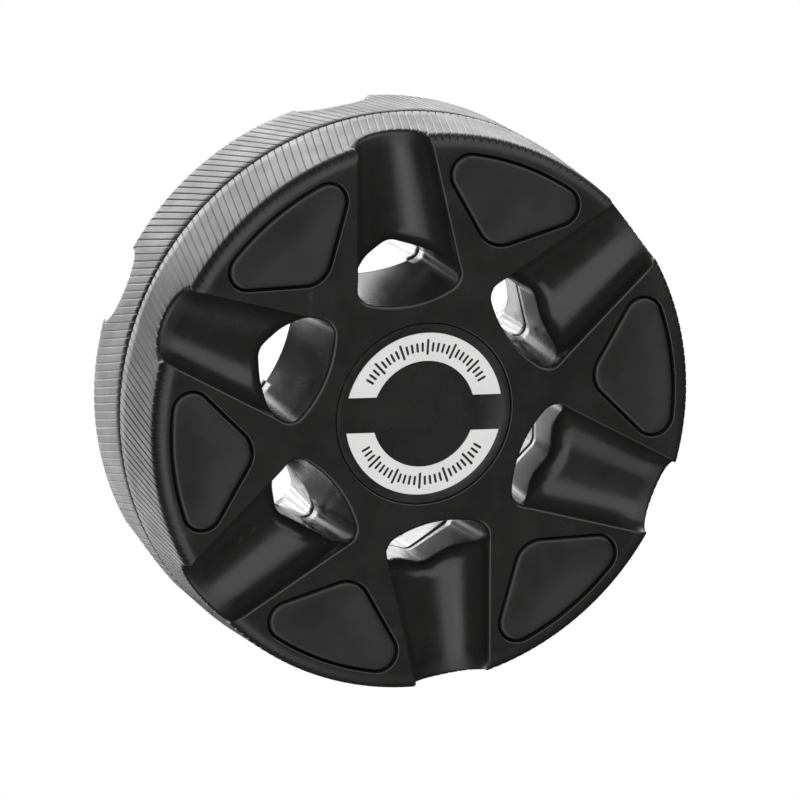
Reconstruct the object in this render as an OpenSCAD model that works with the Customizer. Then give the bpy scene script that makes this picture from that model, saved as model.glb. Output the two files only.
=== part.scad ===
// Roller hockey puck, lying flat with its labelled front face up.
// Millimetres. The origin is the puck's centre, on the seam between its two half shells,
// +Z is the puck's axis and the first flute of each face points along +X.

/* [Puck] */
// Outer diameter at the seam, where the rim is widest
puck_d = 76.2; // [74:0.1:78]
// Thickness between the two flat faces
puck_t = 25.4; // [24:0.1:26.4]
// Draft of the rim: how much smaller its radius is at a face than at the seam
rim_draft = 0.35; // [0.1:0.05:0.6]
// Radius of the rounded edge between the rim and a face
edge_r = 1.8; // [1:0.1:2.2]
// Depth of the small chamfer that makes the seam line
seam_chamfer = 0.15; // [0.05:0.05:0.3]

/* [Flutes] */
// Half width of a flute where it leaves through the rim
flute_rim_w = 5.2; // [4.5:0.1:5.4]
// Depth of a flute where it leaves through the rim
flute_rim_depth = 4.6; // [4:0.1:5]
// Half width of a flute at its hub end
flute_hub_w = 7.1; // [6.5:0.1:7.2]
// Depth of a flute at its hub end
flute_hub_depth = 5.6; // [5:0.1:6.5]
// Distance from the puck's axis to a flute's hub end
flute_start = 18.0; // [17.5:0.1:18.5]

/* [Windows] */
// Distance from the puck's axis to a window's near edge, at the face
window_near_face = 15.0; // [14.8:0.1:15.6]
// Distance from the puck's axis to a window's near edge, at the seam
window_near_seam = 16.8; // [16:0.1:17]
// Distance from the puck's axis to a window's pointed far edge, at the face
window_far_face = 22.6; // [22:0.1:23]
// Distance from the puck's axis to a window's pointed far edge, at the seam
window_far_seam = 22.0; // [21:0.1:22.2]
// Half width of a window at the face
window_w_face = 7.3; // [7.2:0.1:7.6]
// Half width of a window at the seam
window_w_seam = 6.2; // [5.8:0.1:6.6]

/* [Glide pads] */
// Distance from the puck's axis to a pad's inner tip
pad_tip = 24.4; // [24:0.1:25]
// Distance from the puck's axis to a pad's outer edge
pad_outer = 35.2; // [34:0.1:35.4]
// Angle from a pad's middle to the centre of each outer corner
pad_corner_angle = 12.2; // [11:0.1:12.6]
// Radius of a pad's outer corners
pad_corner_r = 2.5; // [2:0.1:3]
// Radius of a pad's inner tip
pad_tip_r = 3.5; // [2.5:0.1:4]
// Thickness of a pad
pad_t = 3.2; // [2.4:0.1:3.6]
// Width of the groove all round a pad
pad_gap = 0.35; // [0.2:0.05:0.5]
// Diameter of the stem that holds a pad in its pocket
stem_d = 4.0; // [3:0.1:5]
// Length of that stem below the pad
stem_len = 3.0; // [2:0.1:3.4]
// Distance from the puck's axis to the stems and the tie pins
stem_ring = 30.4; // [29:0.1:31]

/* [Hub] */
// Diameter of the round cap in the middle of each face
cap_d = 24.4; // [23.6:0.1:24.6]
// Gap all round the cap
cap_gap = 0.15; // [0.1:0.05:0.2]
// Thickness of the cap
cap_t = 1.5; // [1:0.1:2]
// How far the cap lies below the face
cap_sink = 0.2; // [0.15:0.05:0.3]
// Outer diameter of the printed ring on the cap
badge_od = 22.0; // [20:0.1:22.6]
// Inner diameter of the printed ring
badge_id = 14.4; // [12:0.1:16]
// Thickness of the printed ring
badge_t = 0.1; // [0.08:0.01:0.12]
// Half width of the plain band that divides the ring into two arcs
badge_band = 2.4; // [1:0.1:4]
// Angle of that band from the first flute
badge_angle = 20; // [0:1:60]
// Diameter of the damping core inside the hub
core_d = 21.0; // [16:0.5:22]
// Height of the damping core
core_h = 16.0; // [10:0.5:18]
// Clearance all round the damping core
core_gap = 0.15; // [0.1:0.05:0.3]

/* [Tie pins] */
// Diameter of the pins that hold the two shells together
pin_d = 4.0; // [3:0.1:5]
// Length of a pin
pin_len = 10.0; // [6:0.5:11]
// Depth of the spare space beyond each end of a pin
pin_spare = 0.3; // [0.2:0.1:0.5]
// Outer radius of the ring that centres one shell in the other
lip_outer = 14.0; // [13.5:0.1:14.4]
// Radial thickness of that ring
lip_w = 1.6; // [1.2:0.1:1.8]
// Height of that ring
lip_h = 1.2; // [0.8:0.1:1.5]
// Clearance round that ring
lip_gap = 0.1; // [0.05:0.05:0.2]

/* [Hidden] */
$fn = 96;
FLUTES = 6;
STEP_ANGLE = 360 / FLUTES;
HULL_FN = 32;
// Thickness of the thin posts that a window's hull is stretched over
SKIN = 0.01;
// How far a cut runs on past the surface that it opens, and a stem into its pad
OVER = 1;
// How far past its outer corners a pad's outline is cut before its outer arc trims it
SPREAD = 1.3;
half_t = puck_t / 2;
puck_r = puck_d / 2;
face_r = puck_r - rim_draft;
cap_top = half_t - cap_sink;
pad_bottom = half_t - pad_t;

// Radius of the circle that passes through a flute's two edges and the bottom of its floor
function flute_arc(w, depth) = (w * w + depth * depth) / (2 * depth);
flute_hub_r = flute_arc(flute_hub_w, flute_hub_depth);
flute_rim_r = flute_arc(flute_rim_w, flute_rim_depth);
flute_len = puck_r - flute_start;
flute_rise = (flute_rim_r - flute_rim_depth) - (flute_hub_r - flute_hub_depth);
flute_tilt = atan2(flute_rise, flute_len);
// How far the flute's cutting cone runs on past the rim
flute_overrun = 3;
flute_narrowing = (flute_rim_r - flute_hub_r) / flute_len;

// Corner radii of a window, and of its pointed far end
window_corner_face = 2.4;
window_corner_seam = 1.6;
window_point_r = 2.5;
// How far a window's cut runs on past the face and the seam
window_overrun = 0.4;

// The point at distance r from the puck's axis and angle a
function polar(r, a) = [r * cos(a), r * sin(a)];

// The heading, seen from circle 1, of the outer tangent's touching points on circles 1 and 2
function tangent_heading(c1, r1, c2, r2) =
    atan2(c2.y - c1.y, c2.x - c1.x) + acos((r1 - r2) / norm(c2 - c1));

// Repeats its children at every flute
module at_flutes() {
    for (i = [0 : FLUTES - 1])
        rotate([0, 0, i * STEP_ANGLE]) children();
}

// Repeats its children at every pad, half way between two flutes
module at_pads() {
    for (i = [0 : FLUTES - 1])
        rotate([0, 0, (i + 0.5) * STEP_ANGLE]) children();
}

// One half of the puck as a plain turned disc, from the seam up to its face
module half_disc() {
    rotate_extrude() {
        polygon([
            [0, 0], [puck_r - seam_chamfer, 0], [puck_r, seam_chamfer],
            [face_r, half_t - edge_r], [face_r - edge_r, half_t], [0, half_t]
        ]);
        translate([face_r - edge_r, half_t - edge_r]) circle(edge_r);
    }
}

// The trough that runs from a window out through the rim
module flute_cut() {
    translate([flute_start, 0, half_t + flute_hub_r - flute_hub_depth])
        rotate([0, 90 - flute_tilt, 0])
            cylinder(
                h = flute_len + flute_overrun,
                r1 = flute_hub_r,
                r2 = flute_hub_r + flute_narrowing * (flute_len + flute_overrun)
            );
}

// Three thin round posts that span a window's outline at one height
module window_posts(near, far, half_w, corner_r, z) {
    for (side = [-1, 1])
        translate([near + corner_r, side * (half_w - corner_r), z])
            cylinder(h = SKIN, r = corner_r, $fn = HULL_FN);
    translate([far - window_point_r, 0, z])
        cylinder(h = SKIN, r = window_point_r, $fn = HULL_FN);
}

// The tapering hole behind each flute's hub end, right through one half and a little past it
module window_cut() {
    hull() {
        window_posts(
            window_near_seam, window_far_seam, window_w_seam, window_corner_seam, -window_overrun
        );
        window_posts(
            window_near_face, window_far_face, window_w_face, window_corner_face,
            half_t + window_overrun
        );
    }
}

// A pad's outline, grown all round by grow: a triangle with rounded corners
// and an outer side that follows the rim
module pad_outline(grow) {
    corner_r = pad_corner_r + grow;
    tip_r = pad_tip_r + grow;
    outer_r = pad_outer + grow;
    tip = [pad_tip + pad_tip_r, 0];
    corner_a = polar(pad_outer - pad_corner_r, pad_corner_angle);
    corner_b = polar(pad_outer - pad_corner_r, -pad_corner_angle);
    heading = tangent_heading(tip, tip_r, corner_a, corner_r);
    polygon([
        tip,
        tip + polar(tip_r, heading),
        corner_a + polar(corner_r, heading),
        corner_a,
        corner_b,
        corner_b + polar(corner_r, -heading),
        tip + polar(tip_r, -heading)
    ]);
    translate(tip) circle(tip_r);
    translate(corner_a) circle(corner_r);
    translate(corner_b) circle(corner_r);
    intersection() {
        circle(outer_r);
        polygon([corner_b, SPREAD * corner_b, SPREAD * corner_a, corner_a]);
    }
}

// The pocket for a pad, with the bore for its stem
module pad_pocket() {
    translate([0, 0, pad_bottom]) linear_extrude(pad_t + OVER) pad_outline(pad_gap);
    translate([stem_ring, 0, pad_bottom - stem_len]) cylinder(h = stem_len + OVER, d = stem_d);
}

// The blind bore for one end of a tie pin
module pin_bore() {
    translate([stem_ring, 0, -OVER]) cylinder(h = OVER + pin_len / 2 + pin_spare, d = pin_d);
}

// Everything that both half shells have
module half_shell() {
    difference() {
        half_disc();
        at_flutes() flute_cut();
        at_flutes() window_cut();
        at_pads() pad_pocket();
        at_pads() pin_bore();
        translate([0, 0, cap_top - cap_t]) cylinder(h = cap_t + OVER, d = cap_d + 2 * cap_gap);
        translate([0, 0, -OVER]) cylinder(h = OVER + core_h / 2 + core_gap, d = core_d + 2 * core_gap);
    }
}

// The labelled half, with the ring that drops into the other half
module front_shell() {
    color("#2a2928") {
        half_shell();
        translate([0, 0, -lip_h]) difference() {
            cylinder(h = lip_h, r = lip_outer);
            translate([0, 0, -OVER]) cylinder(h = lip_h + 2 * OVER, r = lip_outer - lip_w);
        }
    }
}

// The other half, with the groove that takes the ring
module rear_shell() {
    color("#2a2928") difference() {
        mirror([0, 0, 1]) half_shell();
        translate([0, 0, -lip_h - lip_gap]) difference() {
            cylinder(h = lip_h + lip_gap + OVER, r = lip_outer + lip_gap);
            translate([0, 0, -OVER]) cylinder(h = lip_h + 3 * OVER, r = lip_outer - lip_w - lip_gap);
        }
    }
}

// Pad number i of a face, flush with that face, with its stem
module glide_pad(i) {
    rotate([0, 0, (i - 0.5) * STEP_ANGLE]) {
        translate([0, 0, pad_bottom]) linear_extrude(pad_t) pad_outline(0);
        translate([stem_ring, 0, pad_bottom - stem_len]) cylinder(h = stem_len + OVER, d = stem_d);
    }
}

module front_glide_pad(i) {
    color("#302f2d") glide_pad(i);
}

module rear_glide_pad(i) {
    color("#302f2d") mirror([0, 0, 1]) glide_pad(i);
}

// The round cap in the middle of a face
module hub_cap() {
    translate([0, 0, cap_top - cap_t]) cylinder(h = cap_t, d = cap_d);
}

module front_hub_cap() {
    color("#2c2b2a") hub_cap();
}

module rear_hub_cap() {
    color("#2c2b2a") mirror([0, 0, 1]) hub_cap();
}

// The two printed arcs on a cap, as one thin layer
module badge() {
    rotate([0, 0, badge_angle]) translate([0, 0, cap_top]) linear_extrude(badge_t) difference() {
        circle(d = badge_od);
        circle(d = badge_id);
        square([badge_od + OVER, 2 * badge_band], center = true);
    }
}

module front_badge() {
    color("white") badge();
}

// The rear print is the front's, turned over about the X axis
module rear_badge() {
    color("white") rotate([180, 0, 0]) badge();
}

// The rubber cylinder that deadens the puck's bounce
module hub_core() {
    color("dimgray") translate([0, 0, -core_h / 2]) cylinder(h = core_h, d = core_d);
}

// The six hidden pins, pressed half into each shell
module tie_pins() {
    color("silver") at_pads()
        translate([stem_ring, 0, -pin_len / 2]) cylinder(h = pin_len, d = pin_d);
}

front_shell();
rear_shell();
front_glide_pad(1);  // front_glide_pad_1
front_glide_pad(2);  // front_glide_pad_2
front_glide_pad(3);  // front_glide_pad_3
front_glide_pad(4);  // front_glide_pad_4
front_glide_pad(5);  // front_glide_pad_5
front_glide_pad(6);  // front_glide_pad_6
rear_glide_pad(1);  // rear_glide_pad_1
rear_glide_pad(2);  // rear_glide_pad_2
rear_glide_pad(3);  // rear_glide_pad_3
rear_glide_pad(4);  // rear_glide_pad_4
rear_glide_pad(5);  // rear_glide_pad_5
rear_glide_pad(6);  // rear_glide_pad_6
front_hub_cap();
rear_hub_cap();
front_badge();
rear_badge();
hub_core();
tie_pins();
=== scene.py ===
"""The looks of the roller hockey puck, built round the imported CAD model.

Shapes are worked out in millimetres, in the CAD frame, and become metres when a mesh is made.
Each half shell is one closed mesh: a ribbed rim, six flutes that run from a window out through
the rim, a flat web between each two flutes with a pocket for a glide pad, and the seam side.
"""

import math

import bmesh
import bpy
from mathutils import Matrix, Vector, geometry


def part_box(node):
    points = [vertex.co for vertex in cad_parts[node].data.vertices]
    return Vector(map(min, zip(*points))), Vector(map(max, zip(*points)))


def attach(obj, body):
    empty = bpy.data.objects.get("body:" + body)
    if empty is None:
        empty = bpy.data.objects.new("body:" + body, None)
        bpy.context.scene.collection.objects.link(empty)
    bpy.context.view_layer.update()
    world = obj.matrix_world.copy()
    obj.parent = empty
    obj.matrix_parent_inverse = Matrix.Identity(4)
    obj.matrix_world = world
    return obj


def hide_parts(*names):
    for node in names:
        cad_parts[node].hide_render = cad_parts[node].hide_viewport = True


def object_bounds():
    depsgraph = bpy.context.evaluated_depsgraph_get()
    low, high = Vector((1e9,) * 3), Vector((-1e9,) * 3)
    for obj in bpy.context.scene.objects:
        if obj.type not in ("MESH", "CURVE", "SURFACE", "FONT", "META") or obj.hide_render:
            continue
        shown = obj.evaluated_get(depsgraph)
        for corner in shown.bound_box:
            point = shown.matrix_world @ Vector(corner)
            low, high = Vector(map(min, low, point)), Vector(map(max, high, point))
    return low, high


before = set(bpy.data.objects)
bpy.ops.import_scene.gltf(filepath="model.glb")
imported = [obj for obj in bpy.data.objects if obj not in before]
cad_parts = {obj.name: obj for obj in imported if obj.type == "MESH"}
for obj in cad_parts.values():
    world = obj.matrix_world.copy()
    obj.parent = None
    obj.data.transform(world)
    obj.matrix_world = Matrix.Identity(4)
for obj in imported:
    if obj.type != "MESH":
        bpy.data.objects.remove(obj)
cad_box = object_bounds()

MM = 0.001


def node_box(name):
    """A CAD node's lowest and highest corners in millimetres."""
    low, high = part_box(name)
    return low / MM, high / MM


# Driving dimensions in millimetres, from the frame
HALF_T = cad_box[1].z / MM
PUCK_R = node_box("front_shell")[1].x
CAP_LOW, CAP_HIGH = node_box("front_hub_cap")
BADGE_HIGH = node_box("front_badge")[1]
CORE_HIGH = node_box("hub_core")[1]
PIN_HIGH = node_box("tie_pins")[1]
PAD_LOW = node_box("front_glide_pad_1")[0]

SECTORS = 6
SECTOR = 2 * math.pi / SECTORS

# Mesh making: two distances in metres, then a distance in millimetres, an angle and a count
WELD_DISTANCE = 1.5e-6
SLIVER = 1e-7
PLATE_TOLERANCE = 1e-7
SHARP_ANGLE = math.radians(48)
ROOT_STEPS = 40

# Rim
RIM_DRAFT = 0.35
RIM_EDGE_R = 1.8
NOTCH_EDGE_R = 0.65
SEAM_CHAMFER = 0.15
PLATE_R = PUCK_R - RIM_DRAFT - RIM_EDGE_R - 0.15
RIBS_PER_SECTOR = 36
RIB_PITCH = SECTOR / RIBS_PER_SECTOR
RIB_SLANT = math.tan(math.radians(15)) / PUCK_R
RIB_DEPTH = 0.10
RIB_HALF_W = 0.13
RIB_COLUMNS = (0.0, 0.29, 0.382, 0.5, 0.618, 0.71)
RIB_FADE = (0.1, 0.8)
NOTCH_BLEND = (0.5, 2.5)
SLANT_BLEND = 2.0
WALL_ROWS = 6
EDGE_ROWS = 12
COLUMN_MIN_GAP = 0.00012

# Flutes
FLUTE_HUB_X = 18.0
FLUTE_HUB_W = 7.2
FLUTE_HUB_DEPTH = 5.6
FLUTE_RIM_X = 35.5
FLUTE_RIM_W = 5.2
FLUTE_RIM_DEPTH = 4.6
FLUTE_EDGE_R = 0.35
FLUTE_POWER = 2.1
FLUTE_BORDER = 0.36
FLUTE_ROWS = 32
FLUTE_WALL_DEGREES = range(48, 90, 5)
FLUTE_EDGE_DEGREES = (0, 25, 50, 72, 90)

# Windows: near side, bulge radius, corner height and radius, far side, tip radius
WINDOW_SEAM = dict(near=16.75, bulge_r=20.0, corner_y=4.85, corner_r=1.3, far=22.05, tip_r=1.5)
WINDOW_FACE = dict(near=15.1, bulge_r=16.0, corner_y=5.0, corner_r=2.2, far=22.7, tip_r=4.0)
WINDOW_EDGE_R = 0.45
WINDOW_LIP_R = 2.1
WINDOW_CHAMFER = 0.12
# How far round its half outline a window's corner meets the flute's edge, from 0 to 1
WINDOW_CORNER_T = 0.385
WINDOW_ARC_STEPS = 24
WINDOW_CORNER_STEPS = 30
WINDOW_SIDE_STEPS = 30
WINDOW_WALL_ROWS = 7
WINDOW_EDGE_ROWS = 9
WINDOW_HUB_RAYS = 64
# Blends by which way the wall faces, as the X of its outward direction, and by Y at the seam
TROUGH_BLEND = (-0.4, 0.05)
LIP_BLEND = (0.3, 0.85)
LIP_SPAN = (2.7, 6.4)

# Glide pads
PAD_TIP = 24.4
PAD_OUTER = 35.2
PAD_CORNER_ANGLE = math.radians(12.2)
PAD_CORNER_R = 2.5
PAD_TIP_R = 3.5
PAD_THICKNESS = 3.2
PAD_GAP = 0.35
PAD_EDGE_R = 0.4
PAD_DISH = 0.22
PAD_ARC_STEPS = 14
PAD_CORNER_STEPS = 16
PAD_SIDE_STEPS = 12
PAD_EDGE_STEPS = 6
PAD_DISH_ROWS = 15
STEM_R = 2.0
STEM_RING = 30.4
STEM_SIDES = 32

# Hub
CAP_R = CAP_HIGH.x
CAP_GAP = 0.15
CORE_GAP = 0.15
LIP_OUTER = 14.0
LIP_W = 1.6
LIP_H = 1.2
LIP_GAP = 0.1
PIN_SPARE = 0.3
SMALL_EDGE_R = 0.15
HUB_ARC_STEPS = 24
HUB_SIDES = 96
CAP_SIDES = 144

# Print on the caps: two arcs of a ring, with ticks across them
BADGE_R = BADGE_HIGH.x
BADGE_HOLE_R = 7.2
BADGE_BAND = 2.4
BADGE_ANGLE = math.radians(20)
BADGE_BEVEL = 0.02
BADGE_MARGIN = 0.15
CAP_SEAT = 0.04
TICKS_EACH_SIDE = 13
TICK_PITCH = math.radians(4.6)
TICK_W = 0.34
TICK_SHORT = 1.3
TICK_LONG = 2.2
TICK_MIDDLE_R = 9.1
TICK_RISE = 0.02
TICK_END_STEPS = 6
BADGE_ARC_STEPS = 72

# Camera, in millimetres in the CAD frame, at the photo's viewing angle
CAMERA_AT = Vector((-818.04, 200.55, 1793.72))
CAMERA_TARGET = Vector((1.47, -0.66, 0.74))
CAMERA_UP = Vector((-0.3044, 0.9212, -0.2425))
CAMERA_LENS = 672.2

# Where the rim's rougher finish starts and is full, in metres from the axis
RIM_FINISH = (0.0350, 0.0370)

# Stage, in metres
FLOOR_HALF = 6.0
FLOOR_GAP = 0.0001


# ---------------------------------------------------------------- small helpers


def lerp(a, b, t):
    return a + (b - a) * t


def smooth(low, high, x):
    """0 below low, 1 above high, with a smooth rise between."""
    t = min(max((x - low) / (high - low), 0.0), 1.0)
    return t * t * (3 - 2 * t)


def polar(r, a):
    return Vector((r * math.cos(a), r * math.sin(a)))


def turned(p, a):
    """A 2-D or 3-D point turned about the puck's axis."""
    x = p.x * math.cos(a) - p.y * math.sin(a)
    y = p.x * math.sin(a) + p.y * math.cos(a)
    return Vector((x, y, p.z)) if len(p) == 3 else Vector((x, y))


def lifted(points, z):
    return [Vector((p.x, p.y, z)) for p in points]


def circle(r, count, centre=(0.0, 0.0)):
    middle = Vector(centre)
    return [middle + polar(r, 2 * math.pi * i / count) for i in range(count)]


def round_drop(distance, radius):
    """How far a rounded edge has dropped at a distance from where it turns vertical."""
    if distance >= radius:
        return 0.0
    return radius - math.sqrt(max(radius**2 - (radius - distance) ** 2, 0.0))


def find_root(f, low, high):
    """Where a rising function crosses zero."""
    for _ in range(ROOT_STEPS):
        middle = (low + high) / 2
        if f(middle) > 0:
            high = middle
        else:
            low = middle
    return (low + high) / 2


class Builder:
    """Collects points and faces, and turns them into one closed mesh."""

    def __init__(self):
        self.points = []
        self.faces = []
        self.flat_faces = set()

    def grid(self, rows, closed=False):
        """Quads between rows of equal length."""
        width = len(rows[0])
        start = len(self.points)
        for row in rows:
            self.points.extend(row)
        last = width if closed else width - 1
        for r in range(len(rows) - 1):
            for c in range(last):
                a = start + r * width + c
                b = start + r * width + (c + 1) % width
                self.faces.append((a, b, b + width, a + width))

    def fan(self, loop, centre):
        """Triangles from a closed loop to one point."""
        start = len(self.points)
        self.points.extend(loop)
        self.points.append(centre)
        count = len(loop)
        for i in range(count):
            self.faces.append((start + i, start + (i + 1) % count, start + count))

    def plate(self, loops, keep):
        """Triangles between closed loops. keep says which sets of loops a filled spot lies inside."""
        flat = [p for loop in loops for p in loop]
        rings = []
        start = 0
        for loop in loops:
            rings.append(list(range(start, start + len(loop))))
            start += len(loop)
        found = geometry.delaunay_2d_cdt([p.to_2d() for p in flat], [], rings, 1, PLATE_TOLERANCE)
        base = len(self.points)
        for origins, flat_point in zip(found[3], found[0]):
            z = flat[origins[0]].z
            self.points.append(Vector((flat_point.x, flat_point.y, z)))
        for corners, inside in zip(found[2], found[5]):
            if keep(set(inside)):
                self.flat_faces.add(len(self.faces))
                self.faces.append(tuple(base + i for i in corners))

    def repeated(self, count, angle):
        """Copies of everything so far, turned about the axis."""
        points, faces, flat = list(self.points), list(self.faces), list(self.flat_faces)
        for i in range(1, count):
            start = len(self.points)
            self.points.extend(turned(p, i * angle) for p in points)
            self.faces.extend(tuple(start + k for k in face) for face in faces)
            self.flat_faces.update(k + i * len(faces) for k in flat)

    def object(self, name, place):
        """The mesh in metres. Flat faces stay flat, and sharp edges between rounded ones stay sharp."""
        mesh = bpy.data.meshes.new(name)
        bm = bmesh.new()
        corners = [bm.verts.new(place @ (p * MM)) for p in self.points]
        for number, face in enumerate(self.faces):
            bm.faces.new([corners[i] for i in face]).smooth = number not in self.flat_faces
        bmesh.ops.remove_doubles(bm, verts=bm.verts, dist=WELD_DISTANCE)
        bmesh.ops.dissolve_degenerate(bm, edges=bm.edges, dist=SLIVER)
        bmesh.ops.recalc_face_normals(bm, faces=bm.faces)
        bm.to_mesh(mesh)
        bm.free()
        rounded = [face.use_smooth for face in mesh.polygons]
        mesh.set_sharp_from_angle(angle=SHARP_ANGLE)
        mesh.polygons.foreach_set("use_smooth", rounded)
        thing = bpy.data.objects.new(name, mesh)
        bpy.context.scene.collection.objects.link(thing)
        return thing


# ---------------------------------------------------------------- the top surface of a half


def flute_half_width(u):
    return lerp(FLUTE_HUB_W, FLUTE_RIM_W, (u - FLUTE_HUB_X) / (FLUTE_RIM_X - FLUTE_HUB_X))


def flute_depth(u):
    return lerp(FLUTE_HUB_DEPTH, FLUTE_RIM_DEPTH, (u - FLUTE_HUB_X) / (PUCK_R - FLUTE_HUB_X))


def trough_depth(u, v, flare=0.0):
    """Depth of a flute below the face at u along it and v across it. flare widens it all round."""
    half_w = flute_half_width(u) + flare
    outside = abs(v) - half_w
    if outside >= 0:
        return round_drop(outside, FLUTE_EDGE_R)
    across = abs(v) / half_w
    hollow = (1 - across**FLUTE_POWER) ** (1 / FLUTE_POWER)
    return FLUTE_EDGE_R + (flute_depth(u) + flare - FLUTE_EDGE_R) * hollow


def rim_top(angle, inset):
    """Height of the rounded top of the rim, at a distance inside the rim's wall."""
    r = PUCK_R - RIM_DRAFT - inset
    flare = round_drop(inset, NOTCH_EDGE_R)
    trough = trough_depth(r * math.cos(angle), r * math.sin(angle), flare)
    web = round_drop(inset, RIM_EDGE_R)
    return HALF_T - (trough**3 + web**3) ** (1 / 3)


def wall_r(z):
    return PUCK_R - RIM_DRAFT * max(z - SEAM_CHAMFER, 0) / (HALF_T - RIM_EDGE_R)


# ---------------------------------------------------------------- rim columns


def flute_angle(r, offset, flare=0.0):
    """Angle at radius r of the line that is offset outside the flute's edge."""
    u = r
    for _ in range(4):
        v = flute_half_width(u) + flare + offset
        u = math.sqrt(r * r - v * v)
    return math.atan2(v, u)


EDGE_ANGLE = flute_angle(PLATE_R, 0.0)
BORDER_ANGLE = flute_angle(PLATE_R, FLUTE_BORDER)
SLANT_START = flute_angle(PLATE_R, FLUTE_EDGE_R)
SLANT_FULL = flute_angle(PLATE_R, SLANT_BLEND)


def edge_inset(row):
    """How far row number row of the rim's rounded edge lies inside the wall."""
    return RIM_EDGE_R * (1 - math.cos(math.pi / 2 * row / EDGE_ROWS))


def column_angle(start, inset):
    """Where the column that ends at angle start on the plate's ring runs on the rounded edge."""
    r = PUCK_R - RIM_DRAFT - inset
    edge = flute_angle(r, 0.0, round_drop(inset, NOTCH_EDGE_R))
    side = 1 if start >= 0 else -1
    if abs(start) <= EDGE_ANGLE:
        return start * edge / EDGE_ANGLE
    fade = (SECTOR / 2 - abs(start)) / (SECTOR / 2 - EDGE_ANGLE)
    slant = smooth(SLANT_START, SLANT_FULL, abs(start))
    shift = RIB_SLANT * round_drop(inset, RIM_EDGE_R) * slant
    return start + side * (edge - EDGE_ANGLE) * fade - shift


def column_phase(start):
    """The angle at which a column meets the seam."""
    top = column_angle(start, 0.0)
    return top - RIB_SLANT * rim_top(top, 0.0)


PHASE_START = column_phase(-SECTOR / 2)


def rib_depth(phase):
    """Depth of the groove between two ribs."""
    part = ((phase - PHASE_START) / RIB_PITCH) % 1.0
    distance = abs(part - 0.5) * RIB_PITCH * PUCK_R
    return RIB_DEPTH * max(0.0, 1 - distance / RIB_HALF_W)


def column_starts():
    """Angles on the plate's ring where columns end: along each rib, and denser at a flute's edges."""
    starts = []
    for i in range(RIBS_PER_SECTOR):
        for part in RIB_COLUMNS:
            phase = PHASE_START + (i + part) * RIB_PITCH
            starts.append(find_root(lambda a: column_phase(a) - phase, -SECTOR / 2, SECTOR / 2))
    starts[0] = -SECTOR / 2
    starts.append(SECTOR / 2)
    fine = []
    for degrees in FLUTE_WALL_DEGREES:
        fine.append(EDGE_ANGLE * math.sin(math.radians(degrees)) ** (2 / FLUTE_POWER))
    for degrees in FLUTE_EDGE_DEGREES:
        fine.append(flute_angle(PLATE_R, FLUTE_EDGE_R * (1 - math.cos(math.radians(degrees)))))
    fine.append(BORDER_ANGLE)
    for extra in fine:
        for angle in (extra, -extra):
            close = [s for s in starts if abs(s - angle) < COLUMN_MIN_GAP]
            for s in close:
                starts.remove(s)
            starts.append(angle)
    return sorted(starts)


STARTS = column_starts()
FLUTE_COLUMNS = [i for i, s in enumerate(STARTS) if abs(s) <= BORDER_ANGLE + 1e-9]


def column(start):
    """One column of the rim, from the plate's ring over the rounded edge and down to the seam."""
    phase = column_phase(start)
    groove = rib_depth(phase)
    points = [plate_ring_point(start)]
    top_angle = column_angle(start, 0.0)
    top_z = rim_top(top_angle, 0.0)
    in_notch = smooth(*NOTCH_BLEND, trough_depth(*polar(PUCK_R - RIM_DRAFT, top_angle), NOTCH_EDGE_R))
    edge_r = lerp(RIM_EDGE_R, NOTCH_EDGE_R, in_notch)
    outward = wall_r(top_z) - (PUCK_R - RIM_DRAFT)
    for row in range(EDGE_ROWS, -1, -1):
        inset = edge_inset(row)
        angle = column_angle(start, inset)
        lean = max(0.0, 1 - inset / edge_r)
        depth = groove * (1 - smooth(*RIB_FADE, inset / edge_r))
        r = PUCK_R - RIM_DRAFT - inset - depth * lean
        r += outward * max(0.0, 1 - inset / RIM_EDGE_R)
        z = rim_top(angle, inset) - depth * math.sqrt(1 - lean * lean)
        points.append(Vector((*polar(r, angle), z)))
    for row in range(1, WALL_ROWS + 1):
        z = lerp(top_z, SEAM_CHAMFER, row / WALL_ROWS)
        points.append(Vector((*polar(wall_r(z) - groove, phase + RIB_SLANT * z), z)))
    points.append(Vector((*polar(PUCK_R - SEAM_CHAMFER - groove, phase), 0.0)))
    return points


def plate_ring_point(start):
    p = polar(PLATE_R, start)
    return Vector((p.x, p.y, HALF_T - trough_depth(p.x, p.y)))


# ---------------------------------------------------------------- windows


def window_half(near, bulge_r, corner_y, corner_r, far, tip_r):
    """Points and outward headings of half a window, from its hub side round to its tip."""
    middle = Vector((near + bulge_r, 0))
    corner = Vector((middle.x - math.sqrt((bulge_r - corner_r) ** 2 - corner_y**2), corner_y))
    tip = Vector((far - tip_r, 0))
    span = tip - corner
    side = math.atan2(span.y, span.x) + math.acos((corner_r - tip_r) / span.length)
    touch = math.atan2(corner.y, corner.x - middle.x)
    arcs = (
        (middle, bulge_r, math.pi, touch, WINDOW_ARC_STEPS),
        (corner, corner_r, touch, side, WINDOW_CORNER_STEPS),
        (tip, tip_r, side, 0.0, WINDOW_ARC_STEPS),
    )
    points = []
    for centre, radius, first, last, count in arcs:
        if radius == tip_r:
            a, b = points[-1][0], tip + polar(tip_r, side)
            parts = [i / WINDOW_SIDE_STEPS for i in range(1, WINDOW_SIDE_STEPS)]
            points.extend((a.lerp(b, part), side) for part in parts)
        for i in range(count + 1):
            heading = lerp(first, last, i / count)
            points.append((centre + polar(radius, heading), heading))
    return points


SEAM_HALF = window_half(**WINDOW_SEAM)
FACE_HALF = window_half(**WINDOW_FACE)


def along(table, t):
    """The point and heading at fraction t of a half outline."""
    place = min(max(t, 0.0), 1.0) * (len(table) - 1)
    i = min(int(place), len(table) - 2)
    a, b = table[i], table[i + 1]
    part = place - i
    return a[0].lerp(b[0], part), lerp(a[1], b[1], part)


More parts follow.
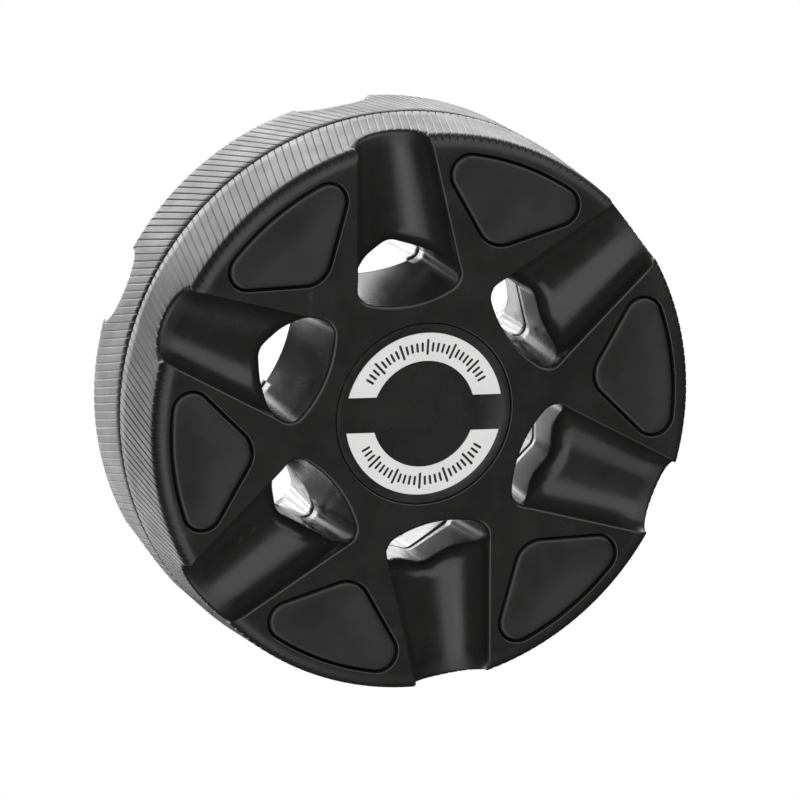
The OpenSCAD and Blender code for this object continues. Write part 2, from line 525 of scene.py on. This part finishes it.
class WindowRay:
    """The wall of a window at one place on its outline: t from -1 to 1, 0 on the hub side."""

    def __init__(self, t):
        side = -1 if t < 0 else 1
        self.seam, seam_heading = along(SEAM_HALF, abs(t))
        self.face, face_heading = along(FACE_HALF, abs(t))
        heading = (seam_heading + face_heading) / 2
        self.out = polar(1.0, heading)
        for p in (self.seam, self.face, self.out):
            p.y *= side
        self.trough_share = smooth(*TROUGH_BLEND, self.out.x)
        wide = smooth(*LIP_BLEND, self.out.x) * (1 - smooth(*LIP_SPAN, abs(self.seam.y)))
        self.edge_r = lerp(WINDOW_EDGE_R, WINDOW_LIP_R, wide)
        self.top = self.find_top()

    def wall(self, z):
        return self.seam.lerp(self.face, z / HALF_T)

    def surface(self, p):
        return HALF_T - self.trough_share * trough_depth(p.x, p.y)

    def find_top(self):
        def above(z):
            return z - (self.surface(self.wall(z)) - self.edge_r)

        z = 3.0
        while above(z) < 0 and z < HALF_T:
            z += 0.1
        return find_root(above, z - 0.1, z)

    def outer(self):
        return self.wall(self.top) + self.out * self.edge_r

    def profile(self):
        foot = self.seam + self.out * WINDOW_CHAMFER
        points = [Vector((foot.x, foot.y, 0.0))]
        for row in range(WINDOW_WALL_ROWS):
            z = lerp(WINDOW_CHAMFER, self.top, row / WINDOW_WALL_ROWS)
            points.append(Vector((*self.wall(z), z)))
        for row in range(WINDOW_EDGE_ROWS + 1):
            a = math.pi / 2 * row / WINDOW_EDGE_ROWS
            p = self.wall(self.top) + self.out * self.edge_r * (1 - math.cos(a))
            z = self.surface(p) - self.edge_r * (1 - math.sin(a))
            points.append(Vector((p.x, p.y, z)))
        return points


def flute_place(p):
    """Where a point lies across a flute: -1 to 1 inside it, and on by millimetres outside."""
    half_w = flute_half_width(p.x)
    if abs(p.y) <= half_w:
        return p.y / half_w
    return math.copysign(1 + abs(p.y) - half_w, p.y)


def ray_for_place(place):
    """The window ray whose outer end lies on that line of the flute."""
    side = -1 if place < 0 else 1
    # The outer ends move steadily outwards from the tip to the corner
    wanted = abs(place)
    t = find_root(lambda s: wanted - flute_place(WindowRay(s).outer()), WINDOW_CORNER_T, 1.0)
    return WindowRay(side * t), t


def window_rays():
    """Rays at every line of the flute, and the rest of the way round the hub side."""
    flute_rays = []
    border_t = 1.0
    for i in FLUTE_COLUMNS:
        ray, t = ray_for_place(flute_place(polar(PLATE_R, STARTS[i])))
        flute_rays.append(ray)
        border_t = min(border_t, t)
    parts = [i / WINDOW_HUB_RAYS for i in range(1, WINDOW_HUB_RAYS)]
    hub_rays = [WindowRay(lerp(border_t, -border_t, part)) for part in parts]
    return flute_rays, hub_rays


# ---------------------------------------------------------------- pad outline


def pad_outline(grow):
    """A pad's outline, grown all round: a rounded triangle with its outer side along the rim."""
    tip = Vector((PAD_TIP + PAD_TIP_R, 0))
    corner = polar(PAD_OUTER - PAD_CORNER_R, PAD_CORNER_ANGLE)
    span = corner - tip
    heading = math.atan2(span.y, span.x) + math.acos((PAD_TIP_R - PAD_CORNER_R) / span.length)
    half = []
    arcs = (
        (Vector((0, 0)), PAD_OUTER + grow, 0.0, PAD_CORNER_ANGLE, PAD_ARC_STEPS),
        (corner, PAD_CORNER_R + grow, PAD_CORNER_ANGLE, heading, PAD_CORNER_STEPS),
        (tip, PAD_TIP_R + grow, heading, math.pi, PAD_CORNER_STEPS),
    )
    for centre, radius, first, last, count in arcs:
        for i in range(count):
            half.append(centre + polar(radius, lerp(first, last, i / count)))
        if centre == corner:
            a, b = corner + polar(radius, heading), tip + polar(PAD_TIP_R + grow, heading)
            half.extend(a.lerp(b, i / PAD_SIDE_STEPS) for i in range(PAD_SIDE_STEPS))
    half.append(tip + polar(PAD_TIP_R + grow, math.pi))
    return half + [Vector((p.x, -p.y)) for p in half[-2:0:-1]]


def around_pad(points, z):
    """A pad's loop at its place between flutes 0 and 1."""
    return [turned(Vector((p.x, p.y, z)), SECTOR / 2) for p in points]


# ---------------------------------------------------------------- half shell


def flute_grid(rays):
    """Rows across the flute, from the window's lip out to the plate's ring."""
    rows = []
    ends = [(ray.profile()[-1], plate_ring_point(STARTS[i])) for ray, i in zip(rays, FLUTE_COLUMNS)]
    for row in range(FLUTE_ROWS + 1):
        part = row / FLUTE_ROWS
        line = []
        for first, last in ends:
            if row in (0, FLUTE_ROWS):
                line.append(first if row == 0 else last)
                continue
            place = lerp(flute_place(first), flute_place(last), part)
            u = lerp(first.x, last.x, part)
            half_w = flute_half_width(u)
            v = place * half_w if abs(place) <= 1 else math.copysign(half_w + abs(place) - 1, place)
            line.append(Vector((u, v, HALF_T - trough_depth(u, v))))
        rows.append(line)
    return rows


def web_outline(rows, hub_rays, hub_circle):
    """The edge of the flat web between flutes 0 and 1, in order round it."""
    count = len(hub_rays)
    middle = count // 2
    outer = [ray.profile()[-1] for ray in hub_rays]
    here = [row[-1] for row in rows]
    there = [turned(row[0], SECTOR) for row in rows]
    ring = [plate_ring_point(s) for s in STARTS if s > BORDER_ANGLE + 1e-9]
    ring += [turned(plate_ring_point(s), SECTOR) for s in STARTS if -SECTOR / 2 < s < -BORDER_ANGLE - 1e-9]
    loop = list(reversed(outer[: middle + 1])) + here + ring
    loop += list(reversed(there)) + [turned(p, SECTOR) for p in reversed(outer[middle:])]
    return loop + list(reversed(hub_circle))


def half_shell_sector():
    """One sixth of a half shell, round the flute along +X."""
    made = Builder()
    columns = [column(s) for s in STARTS]
    made.grid(columns)
    flute_rays, hub_rays = window_rays()
    made.grid([ray.profile() for ray in flute_rays + hub_rays])
    made.grid([hub_rays[-1].profile(), flute_rays[0].profile()])
    rows = flute_grid(flute_rays)
    made.grid(rows)
    hub_r = CAP_R + CAP_GAP
    arc = [i * SECTOR / HUB_ARC_STEPS for i in range(HUB_ARC_STEPS + 1)]
    hub_circle = [Vector((*polar(hub_r + SMALL_EDGE_R, a), HALF_T)) for a in arc]
    made.plate(
        [
            web_outline(rows, hub_rays, hub_circle),
            around_pad(pad_outline(PAD_GAP + SMALL_EDGE_R), HALF_T),
        ],
        lambda inside: inside == {0},
    )
    add_hub_recess(made, arc, hub_r)
    add_pad_pocket(made)
    seam_ring = [c[-1] for c in columns]
    window_ring = [ray.profile()[0] for ray in flute_rays + hub_rays]
    return made, seam_ring, window_ring


def rounded_lip(radius, rows=3):
    """(inset, drop) pairs of a small rounded edge, from the face down."""
    angles = [math.pi / 2 * i / rows for i in range(rows + 1)]
    return [(radius * (1 - math.sin(a)), radius * (1 - math.cos(a))) for a in angles]


def add_hub_recess(made, arc, hub_r):
    rows = []
    for inset, drop in rounded_lip(SMALL_EDGE_R):
        rows.append([Vector((*polar(hub_r + inset, a), HALF_T - drop)) for a in arc])
    rows.append([Vector((*polar(hub_r, a), CAP_LOW.z)) for a in arc])
    rows.append([Vector((*polar(hub_r / 2, a), CAP_LOW.z)) for a in arc])
    made.grid(rows)
    for i in range(len(arc) - 1):
        made.faces.append(wedge(made, rows[-1][i], rows[-1][i + 1]))


def wedge(made, a, b):
    """A triangle from two points to the axis at their height."""
    start = len(made.points)
    made.points.extend((a, b, Vector((0, 0, a.z))))
    return (start, start + 1, start + 2)


def add_pad_pocket(made):
    floor = HALF_T - PAD_THICKNESS
    rows = []
    for inset, drop in rounded_lip(SMALL_EDGE_R):
        rows.append(around_pad(pad_outline(PAD_GAP + inset), HALF_T - drop))
    rows.append(around_pad(pad_outline(PAD_GAP), floor))
    made.grid(rows, closed=True)
    stem = around_pad(circle(STEM_R, STEM_SIDES, (STEM_RING, 0)), floor)
    made.plate([rows[-1], stem], lambda inside: inside == {0})
    bottom = lifted(stem, PAD_LOW.z)
    made.grid([stem, bottom], closed=True)
    made.fan(bottom, Vector((*polar(STEM_RING, SECTOR / 2), PAD_LOW.z)))


def half_shell(name, lip_inner, lip_outer, lip_z, mirrored):
    """A closed half shell. lip_z is where the centring ring or its groove ends."""
    made, seam_ring, window_ring = half_shell_sector()
    made.repeated(SECTORS, SECTOR)
    outer = [turned(p, k * SECTOR) for k in range(SECTORS) for p in seam_ring[:-1]]
    loops = [outer]
    loops += [lifted(circle(r, HUB_SIDES), 0.0) for r in (lip_outer, lip_inner)]
    core_r = CORE_HIGH.x + CORE_GAP
    loops.append(lifted(circle(core_r, HUB_SIDES), 0.0))
    loops += [[turned(p, k * SECTOR) for p in window_ring] for k in range(SECTORS)]
    pin_high = PIN_HIGH.z + PIN_SPARE
    pins = [polar(STEM_RING, (k + 0.5) * SECTOR) for k in range(SECTORS)]
    loops += [lifted(circle(STEM_R, STEM_SIDES, p), 0.0) for p in pins]
    made.plate(loops, lambda inside: inside in ({0}, {0, 1, 2}))
    core_top = CORE_HIGH.z + CORE_GAP
    made.grid([loops[3], lifted(loops[3], core_top)], closed=True)
    made.fan(lifted(loops[3], core_top), Vector((0, 0, core_top)))
    for centre, bore in zip(pins, loops[-SECTORS:]):
        made.grid([bore, lifted(bore, pin_high)], closed=True)
        made.fan(lifted(bore, pin_high), Vector((centre.x, centre.y, pin_high)))
    outside, inside = lifted(loops[1], lip_z), lifted(loops[2], lip_z)
    made.grid([loops[1], outside, inside, loops[2]], closed=True)
    return made.object(name, flipped(mirrored))


# ---------------------------------------------------------------- pads, caps, print


def glide_pad(name, index, mirrored):
    """A pad with a rounded top edge and a shallow dish, on its stem."""
    made = Builder()
    floor = HALF_T - PAD_THICKNESS
    top = HALF_T
    stem = lifted(circle(STEM_R, STEM_SIDES, (STEM_RING, 0)), floor)
    edge = lifted(pad_outline(0.0), floor)
    made.plate([edge, stem], lambda inside: inside == {0})
    made.grid([stem, lifted(stem, PAD_LOW.z)], closed=True)
    made.fan(lifted(stem, PAD_LOW.z), Vector((STEM_RING, 0, PAD_LOW.z)))
    rows = [edge]
    for step in range(PAD_EDGE_STEPS + 1):
        a = math.pi / 2 * step / PAD_EDGE_STEPS
        outline = pad_outline(-PAD_EDGE_R * (1 - math.cos(a)))
        rows.append(lifted(outline, top - PAD_EDGE_R * (1 - math.sin(a))))
    middle = Vector((STEM_RING, 0))
    inner = pad_outline(-PAD_EDGE_R)
    for step in range(1, PAD_DISH_ROWS):
        share = step / PAD_DISH_ROWS
        sunk = PAD_DISH * (1 - (1 - share) ** 2) ** 1.5
        rows.append(lifted([p.lerp(middle, share) for p in inner], top - sunk))
    made.grid(rows, closed=True)
    made.fan(rows[-1], Vector((STEM_RING, 0, top - PAD_DISH)))
    turn = Matrix.Rotation((index - 0.5) * SECTOR, 4, "Z")
    return made.object(name, flipped(mirrored) @ turn)


def flipped(mirrored):
    """The rear half is the front half, mirrored in the seam."""
    return Matrix.Scale(-1, 4, (0, 0, 1)) if mirrored else Matrix.Identity(4)


def hub_cap(name, mirrored):
    """A turned cap with rounded edges, and a shallow seat for the print."""
    made = Builder()
    seat = CAP_HIGH.z - CAP_SEAT
    outline = [(CAP_R - SMALL_EDGE_R, CAP_LOW.z), (CAP_R, CAP_LOW.z + SMALL_EDGE_R)]
    for inset, drop in reversed(rounded_lip(SMALL_EDGE_R, 5)):
        outline.append((CAP_R - SMALL_EDGE_R + inset, CAP_HIGH.z - drop))
    outline.append((BADGE_R + 2 * BADGE_MARGIN, CAP_HIGH.z))
    outline.append((BADGE_R + BADGE_MARGIN, seat))
    outline.append((BADGE_HOLE_R, seat))
    rows = [lifted(circle(r, CAP_SIDES), z) for r, z in outline]
    made.grid(rows, closed=True)
    made.fan(rows[0], Vector((0, 0, CAP_LOW.z)))
    made.fan(rows[-1], Vector((0, 0, seat)))
    return made.object(name, flipped(mirrored))


def arc_outline(inset):
    """The outline of one printed arc: a ring's half, cut off straight by the band."""
    outer, inner, band = BADGE_R - inset, BADGE_HOLE_R + inset, BADGE_BAND + inset
    loop = []
    for radius, forward in ((outer, True), (inner, False)):
        start = math.asin(band / radius)
        angles = [lerp(start, math.pi - start, i / BADGE_ARC_STEPS) for i in range(BADGE_ARC_STEPS + 1)]
        loop += [polar(radius, a) for a in (angles if forward else reversed(angles))]
    return loop


def closed_slab(made, outline, low, high, bevel, place_angle):
    """A thin slab with bevelled top edges, turned into place."""
    rows = [
        lifted(outline(0.0), low),
        lifted(outline(0.0), high - bevel),
        lifted(outline(bevel), high),
    ]
    rows = [[turned(p, place_angle) for p in row] for row in rows]
    made.grid(rows, closed=True)
    made.plate([rows[0]], lambda inside: inside == {0})
    made.plate([rows[-1]], lambda inside: inside == {0})


def printed_ring(name, mirrored):
    made = Builder()
    for half in range(2):
        angle = BADGE_ANGLE + half * math.pi
        closed_slab(made, arc_outline, CAP_HIGH.z - CAP_SEAT, BADGE_HIGH.z, BADGE_BEVEL, angle)
    return made.object(name, badge_place(mirrored))


def badge_place(mirrored):
    """The rear print is the front one turned over about the X axis."""
    return Matrix.Rotation(math.pi, 4, "X") if mirrored else Matrix.Identity(4)


def tick_outline(length, width):
    """A bar with round ends, pointing outwards across the printed ring."""

    def outline(inset):
        radius = width / 2 - inset
        loop = []
        for side, start in ((1, -math.pi / 2), (-1, math.pi / 2)):
            centre = Vector((TICK_MIDDLE_R + side * (length - width) / 2, 0))
            angles = [start + math.pi * i / TICK_END_STEPS for i in range(TICK_END_STEPS + 1)]
            loop += [centre + polar(radius, a) for a in angles]
        return loop

    return outline


def ring_ticks(name, mirrored):
    """Radial ticks along both printed arcs, every fifth one longer."""
    made = Builder()
    for half in range(2):
        for i in range(-TICKS_EACH_SIDE, TICKS_EACH_SIDE + 1):
            length = TICK_LONG if i % 5 == 0 else TICK_SHORT
            angle = BADGE_ANGLE + (half + 0.5) * math.pi + i * TICK_PITCH
            low, high = BADGE_HIGH.z - TICK_RISE, BADGE_HIGH.z + TICK_RISE
            closed_slab(made, tick_outline(length, TICK_W), low, high, TICK_RISE, angle)
    return made.object(name, badge_place(mirrored))


# ---------------------------------------------------------------- materials


class Nodes:
    """A short way to write a node tree."""

    def __init__(self, name):
        self.material = bpy.data.materials.new(name)
        self.material.use_nodes = True
        self.tree = self.material.node_tree
        self.shader = self.tree.nodes["Principled BSDF"]
        self.place = self.add("ShaderNodeTexCoord").outputs["Object"]

    def add(self, kind, links=(), **settings):
        node = self.tree.nodes.new(kind)
        for key, value in settings.items():
            setattr(node, key, value)
        for socket, source in dict(links).items():
            self.put(node.inputs[socket], source)
        return node

    def put(self, socket, source):
        if isinstance(source, bpy.types.NodeSocket):
            self.tree.links.new(source, socket)
        else:
            socket.default_value = source

    def noise(self, scale, detail=3.0, roughness=0.55):
        links = {"Vector": self.place, "Scale": scale, "Detail": detail, "Roughness": roughness}
        return self.add("ShaderNodeTexNoise", links).outputs["Fac"]

    def from_axis(self):
        """Distance from the puck's axis."""
        flat = self.add("ShaderNodeVectorMath", {0: self.place, 1: (1, 1, 0)}, operation="MULTIPLY")
        links = {0: flat.outputs["Vector"]}
        return self.add("ShaderNodeVectorMath", links, operation="LENGTH").outputs["Value"]

    def ramp(self, value, low, high, out_low=0.0, out_high=1.0):
        links = {"Value": value, "From Min": low, "From Max": high, "To Min": out_low, "To Max": out_high}
        return self.add("ShaderNodeMapRange", links, interpolation_type="SMOOTHSTEP").outputs["Result"]

    def mix(self, share, a, b):
        node = self.add("ShaderNodeMix", {"Factor": share}, data_type="RGBA")
        self.put(node.inputs[6], a)
        self.put(node.inputs[7], b)
        return node.outputs[2]

    def sum(self, a, b, kind="ADD"):
        return self.add("ShaderNodeMath", {0: a, 1: b}, operation=kind).outputs["Value"]

    def bump(self, height, strength, distance, normal=None):
        links = {"Height": height, "Strength": strength, "Distance": distance}
        if normal is not None:
            links["Normal"] = normal
        return self.add("ShaderNodeBump", links).outputs["Normal"]

    def finish(self, colour, roughness, normal):
        self.put(self.shader.inputs["Base Color"], colour)
        self.put(self.shader.inputs["Roughness"], roughness)
        self.put(self.shader.inputs["Normal"], normal)
        return self.material


def grey(level, warmth=0.03):
    """A grey that leans a little to the warm side."""
    return (level * (1 + warmth), level, level * (1 - warmth), 1.0)


def moulded_plastic(name, level, roughness, grain, grain_depth, wear, rim_roughness=None):
    """Black moulded plastic: fine texture, patches of gloss, dust, and edges rubbed paler."""
    n = Nodes(name)
    patches = n.noise(90, 4)
    fine = n.noise(grain, 2, 0.6)
    specks = n.ramp(n.noise(2600, 2), 0.70, 0.78)
    colour = n.mix(n.ramp(patches, 0.3, 0.7), grey(level * 0.86), grey(level * 1.14))
    edges = n.ramp(n.add("ShaderNodeNewGeometry").outputs["Pointiness"], 0.515, 0.60)
    rubbed = n.sum(n.sum(edges, n.ramp(n.noise(700, 3), 0.35, 0.75), "MULTIPLY"), wear, "MULTIPLY")
    colour = n.mix(rubbed, colour, grey(level * 3.0))
    colour = n.mix(n.sum(specks, 0.05, "MULTIPLY"), colour, grey(0.35))
    rough = n.ramp(n.noise(260, 4), 0.25, 0.75, roughness - 0.035, roughness + 0.045)
    if rim_roughness is not None:
        rough = n.sum(rough, n.ramp(n.from_axis(), *RIM_FINISH, 0.0, rim_roughness - roughness))
    swirl = n.bump(n.noise(150, 2), 0.10, 0.0003)
    return n.finish(colour, rough, n.bump(fine, 0.35, grain_depth, swirl))


def printed_ink(name, level, roughness):
    """Pad-printed ink: nearly even, with pinholes and a slightly uneven gloss."""
    n = Nodes(name)
    thin = n.ramp(n.noise(1500, 3), 0.68, 0.80)
    colour = n.mix(n.ramp(n.noise(300, 3), 0.3, 0.7), grey(level * 0.96, 0.004), grey(level, 0.004))
    colour = n.mix(n.sum(thin, 0.16, "MULTIPLY"), colour, grey(0.10))
    rough = n.ramp(n.noise(500, 3), 0.3, 0.7, roughness - 0.04, roughness + 0.05)
    return n.finish(colour, rough, n.bump(n.noise(3000, 2), 0.15, 0.00001))


def moulded_rubber(name):
    n = Nodes(name)
    colour = n.mix(n.ramp(n.noise(400, 4), 0.3, 0.7), grey(0.030), grey(0.048))
    return n.finish(colour, 0.8, n.bump(n.noise(2500, 3), 0.5, 0.00004))


def turned_metal(name):
    n = Nodes(name)
    n.shader.inputs["Metallic"].default_value = 1.0
    colour = n.mix(n.ramp(n.noise(900, 3), 0.3, 0.7), (0.58, 0.58, 0.60, 1), (0.72, 0.72, 0.74, 1))
    rings = n.add("ShaderNodeTexWave", {"Vector": n.place, "Scale": 900.0}, bands_direction="Z")
    return n.finish(colour, 0.32, n.bump(rings.outputs["Fac"], 0.2, 0.00002))


# ---------------------------------------------------------------- assembly


def show(piece, material, slot, *nodes):
    """Gives a piece its material and its body, and hides the CAD nodes it stands for; slot is not used."""
    piece.data.materials.append(material)
    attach(piece, "root")
    if nodes:
        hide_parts(*nodes)


def build_puck():
    shell = moulded_plastic("shell_black_nylon", 0.018, 0.24, 9000, 0.00002, 0.5, 0.42)
    pad = moulded_plastic("pad_black_matt", 0.019, 0.38, 6500, 0.00005, 0.3)
    cap = moulded_plastic("cap_black_satin", 0.018, 0.27, 11000, 0.00002, 0.3)
    white = printed_ink("white_ink", 0.86, 0.36)
    black = printed_ink("black_ink", 0.022, 0.42)
    lips = {
        "front": (LIP_OUTER - LIP_W, LIP_OUTER, -LIP_H),
        "rear": (LIP_OUTER - LIP_W - LIP_GAP, LIP_OUTER + LIP_GAP, LIP_H + LIP_GAP),
    }
    for side in ("front", "rear"):
        mirrored = side == "rear"
        body = half_shell(f"{side}_half_shell", *lips[side], mirrored)
        show(body, shell, "shell_plastic", f"{side}_shell")
        for i in range(1, SECTORS + 1):
            piece = glide_pad(f"{side}_pad_{i}", i, mirrored)
            show(piece, pad, "pad_plastic", f"{side}_glide_pad_{i}")
        show(hub_cap(f"{side}_cap", mirrored), cap, "cap_plastic", f"{side}_hub_cap")
        show(printed_ring(f"{side}_printed_ring", mirrored), white, "white_print", f"{side}_badge")
        show(ring_ticks(f"{side}_ring_ticks", mirrored), black, "cap_plastic")
    hidden = {"hub_core": moulded_rubber("rubber"), "tie_pins": turned_metal("turned_pin")}
    for node, material in hidden.items():
        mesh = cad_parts[node].data
        mesh.materials.clear()
        mesh.materials.append(material)


# ---------------------------------------------------------------- studio


def at_direction(azimuth, elevation, distance):
    """A point seen from the puck's centre: azimuth from +X towards +Y, elevation above the seam."""
    a, e = math.radians(azimuth), math.radians(elevation)
    flat = math.cos(e) * distance
    return Vector((flat * math.cos(a), flat * math.sin(a), math.sin(e) * distance))


def softbox(name, azimuth, elevation, distance, size, radiance):
    """A square area light aimed at the puck, as bright as its radiance says whatever its size."""
    data = bpy.data.lights.new(name, "AREA")
    data.shape = "RECTANGLE"
    data.size, data.size_y = size
    data.energy = radiance * math.pi * size[0] * size[1]
    lamp = bpy.data.objects.new(name, data)
    bpy.context.scene.collection.objects.link(lamp)
    lamp.location = at_direction(azimuth, elevation, distance)
    lamp.rotation_mode = "QUATERNION"
    lamp.rotation_quaternion = lamp.location.to_track_quat("Z", "Y")
    lamp.visible_camera = False
    return lamp


def bright(name, level):
    """A plain emitting material for the stage."""
    material = bpy.data.materials.new(name)
    material.use_nodes = True
    shader = material.node_tree.nodes["Principled BSDF"]
    shader.inputs["Base Color"].default_value = (0, 0, 0, 1)
    shader.inputs["Specular IOR Level"].default_value = 0.0
    shader.inputs["Emission Color"].default_value = (level, level, level, 1)
    shader.inputs["Emission Strength"].default_value = 1.0
    return material


def build_floor():
    """A pale floor that the puck lies on. It shows to the camera and takes no part in the lighting."""
    mesh = bpy.data.meshes.new("floor")
    s, z = FLOOR_HALF, cad_box[0].z - FLOOR_GAP
    mesh.from_pydata([(-s, -s, z), (s, -s, z), (s, s, z), (-s, s, z)], [], [(0, 1, 2, 3)])
    floor = bpy.data.objects.new("floor", mesh)
    bpy.context.scene.collection.objects.link(floor)
    mesh.materials.append(bright("pale_floor", 1.0))
    for part in ("diffuse", "glossy", "transmission", "volume_scatter", "shadow"):
        setattr(floor, f"visible_{part}", False)


def build_world():
    world = bpy.data.worlds.new("studio")
    bpy.context.scene.world = world
    world.use_nodes = True
    world.node_tree.nodes["Background"].inputs["Color"].default_value = (1, 1, 1, 1)
    for part in ("diffuse", "glossy", "scatter"):
        setattr(world.cycles_visibility, part, False)


def build_camera():
    data = bpy.data.cameras.new("camera")
    data.lens, data.sensor_width = CAMERA_LENS, 36.0
    data.clip_start, data.clip_end = 0.1, 20.0
    camera = bpy.data.objects.new("camera", data)
    bpy.context.scene.collection.objects.link(camera)
    back = (CAMERA_AT - CAMERA_TARGET).normalized()
    right = CAMERA_UP.cross(back).normalized()
    up = back.cross(right)
    turn = Matrix((right, up, back)).transposed().to_4x4()
    camera.matrix_world = Matrix.Translation(CAMERA_AT * MM) @ turn
    bpy.context.scene.camera = camera


def build_lights():
    """The back lights are below the puck, where the bright backdrop behind it would be."""
    softbox("back_top", 66, -60, 1.3, (0.9, 0.9), 3.2)
    softbox("back_left", 134, -60, 1.3, (0.9, 0.9), 4.2)
    softbox("back_low", 250, -58, 1.3, (0.9, 0.9), 2.4)
    softbox("back_centre", 200, -84, 1.3, (0.5, 0.5), 6.0)
    softbox("top", 70, 28, 1.5, (1.6, 1.6), 1.4)
    softbox("overhead", 172, 68, 1.6, (2.2, 2.2), 1.5)
    softbox("fill", 270, 40, 1.5, (1.3, 1.3), 1.3)


build_camera()
build_puck()
build_floor()
build_world()
build_lights()
bpy.context.scene.view_settings.view_transform = "Standard"
